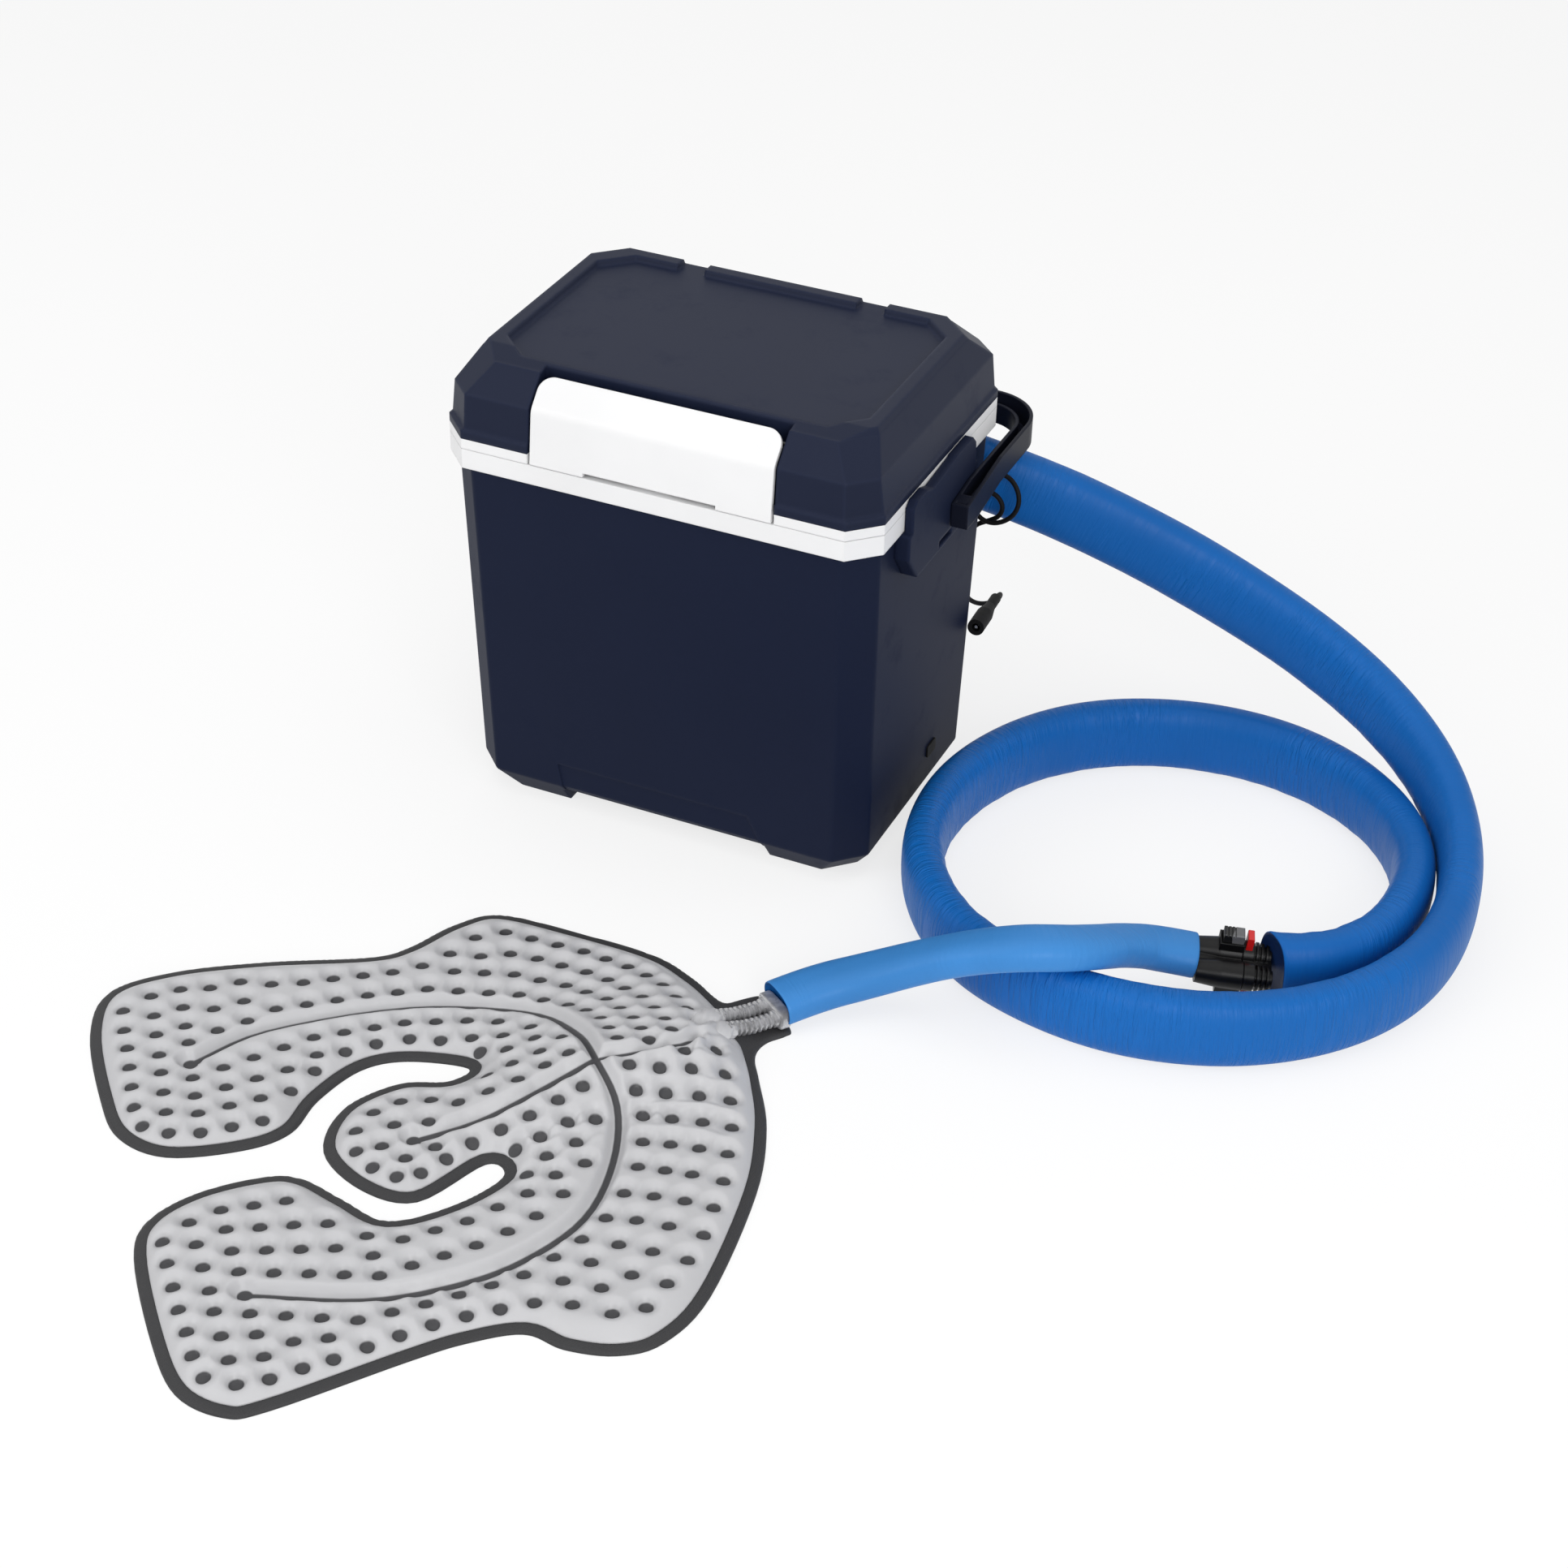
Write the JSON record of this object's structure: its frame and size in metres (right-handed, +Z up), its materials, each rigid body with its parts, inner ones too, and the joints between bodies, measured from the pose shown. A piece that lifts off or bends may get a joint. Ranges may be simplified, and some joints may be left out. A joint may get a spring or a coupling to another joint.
{
  "type": "hot and cold therapy machine",
  "caption": "Insulated water box with hinged lid, latch flap and carry handle, an immersed pump, a looped foam hose with quick coupling, and a horseshoe therapy pad.",
  "frame": {"origin": "middle of the box's footprint, on the surface it stands on", "axes": "+Z up, +X to the right of the box seen from its latch, +Y to its hinges"},
  "size_m": [0.7353, 0.8259, 0.3166],
  "materials": {
    "navy_shell": "fine blow-moulded grain, satin",
    "navy_handle": "satin moulded",
    "white_liner": "smooth moulded, semi gloss",
    "foam_fill": "closed-cell foam",
    "black_rubber": "soft, dull",
    "hinge_plastic": "satin moulded",
    "steel": "drawn bright",
    "pump_plastic": "moulded",
    "impeller_plastic": "moulded",
    "black_plastic": "moulded, semi gloss",
    "button_plastic": "black with a pale grey thumb pad",
    "red_plastic": "moulded, glossy",
    "clear_tube": "milky clear PVC",
    "blue_foam": "closed-cell foam sleeve with a soft skin",
    "pad_film": "pale grey laminated film, soft sheen",
    "pad_backing": "dark grey laminated fabric"
  },
  "bodies": {
    "base": {"outer_shell": "navy_shell", "handle_lug_right": "navy_shell", "handle_lug_left": "navy_shell", "inner_liner": "white_liner", "body_insulation": "foam_fill", "drain_plug": "black_rubber", "pump_suction_cups": "black_rubber", "power_gland": "black_rubber", "power_lead": "black_rubber", "power_jack": "black_rubber", "pump_lead": "black_rubber", "coupling_seals": "black_rubber", "hinge_brackets": "hinge_plastic", "hinge_pins": "steel", "handle_pin_right": "steel", "handle_pin_left": "steel", "pump_shaft": "steel", "jack_pin": "steel", "pump_strainer": "pump_plastic", "pump_volute": "pump_plastic", "pump_motor_can": "pump_plastic", "outlet_elbow": "black_plastic", "bulkhead_nuts": "black_plastic", "coupling_socket": "black_plastic", "coupling_insert": "black_plastic", "coupling_clips": "red_plastic", "supply_tube": "clear_tube", "return_tube": "clear_tube", "inlet_block": "clear_tube", "inlet_tubes": "clear_tube", "pad_ports": "clear_tube", "hose_1_sleeve": "blue_foam", "hose_2_sleeve": "blue_foam", "pad_bladder": "pad_film", "pad_sheet": "pad_backing"},
    "lid": {"lid_shell": "navy_shell", "lid_insulation": "foam_fill", "lid_liner": "white_liner", "lid_gasket": "black_rubber", "lid_hinge_arms": "hinge_plastic", "latch_pin": "steel"},
    "latch": {"latch_flap": "white_liner"},
    "handle": {"carry_handle": "navy_handle"},
    "impeller": {"pump_impeller": "impeller_plastic"},
    "button_far": {"release_button_far": "button_plastic"},
    "button_near": {"release_button_near": "button_plastic"}
  },
  "joints": [
    {"name": "lid_hinge", "type": "hinge", "parent": "base", "child": "lid", "pos_m": [0, 0.1165, 0.263], "axis": [-1, 0, 0], "range_deg": [0, 85]},
    {"name": "latch_hinge", "type": "hinge", "parent": "lid", "child": "latch", "pos_m": [0, -0.09, 0.3043], "axis": [-1, 0, 0], "range_deg": [0, 50]},
    {"name": "handle_pivot", "type": "hinge", "parent": "base", "child": "handle", "pos_m": [0, 0.01, 0.231], "axis": [1, 0, 0], "range_deg": [0, 115]},
    {"name": "impeller_spin", "type": "hinge", "parent": "base", "child": "impeller", "pos_m": [0.062, 0.01, 0.06], "axis": [0, 0, 1], "continuous": true},
    {"name": "button_far_press", "type": "slide", "parent": "base", "child": "button_far", "axis": [-0.14, 0.1338, -0.9811], "range_m": [0, 0.0015], "stiffness_N_per_m": 1500},
    {"name": "button_near_press", "type": "slide", "parent": "base", "child": "button_near", "axis": [0.14, -0.1338, 0.9811], "range_m": [0, 0.0015], "stiffness_N_per_m": 1500}
  ]
}
